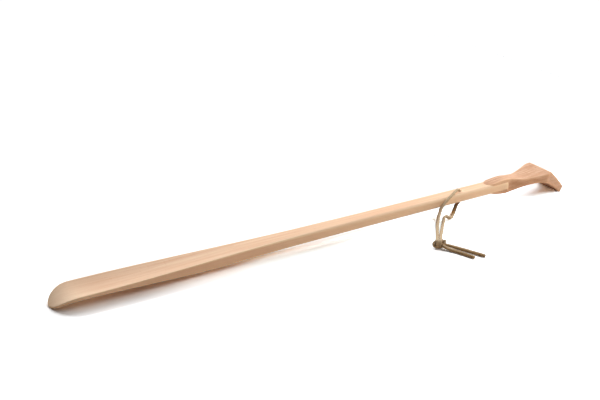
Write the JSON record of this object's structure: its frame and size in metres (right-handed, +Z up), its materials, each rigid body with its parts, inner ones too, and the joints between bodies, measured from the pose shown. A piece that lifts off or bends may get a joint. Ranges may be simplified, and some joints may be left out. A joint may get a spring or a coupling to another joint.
{
  "type": "long-handled shoe horn",
  "caption": "Long wooden shoe horn: hollowed rounded blade, slim straight shaft, hooked fan-shaped end and a knotted leather hanging thong.",
  "frame": {"origin": "on the surface that the shoe horn lies on, below the middle of the wood's bounding box", "axes": "+X from the blade's tip to the hook, +Z up from the surface, +Y to the side away from the thong"},
  "size_m": [0.6527, 0.152, 0.0278],
  "materials": {
    "beech": "fine sanded, pale, lightly oiled",
    "head_beech": "fine sanded, lightly oiled, stronger grain",
    "leather": "undyed lace leather"
  },
  "bodies": {
    "shoe_horn": {"horn": "beech", "hook_head": "head_beech"},
    "thong": {"thong_bore_run": "leather", "thong_upper_run": "leather", "thong_lower_run": "leather", "thong_knot": "leather", "thong_long_tail": "leather", "thong_short_tail": "leather"}
  },
  "joints": [
    {"name": "thong_swivel", "type": "hinge", "parent": "shoe_horn", "child": "thong", "pos_m": [0.1857, 0, 0.0165], "axis": [0, 0, 1], "range_deg": [0, 90]}
  ]
}
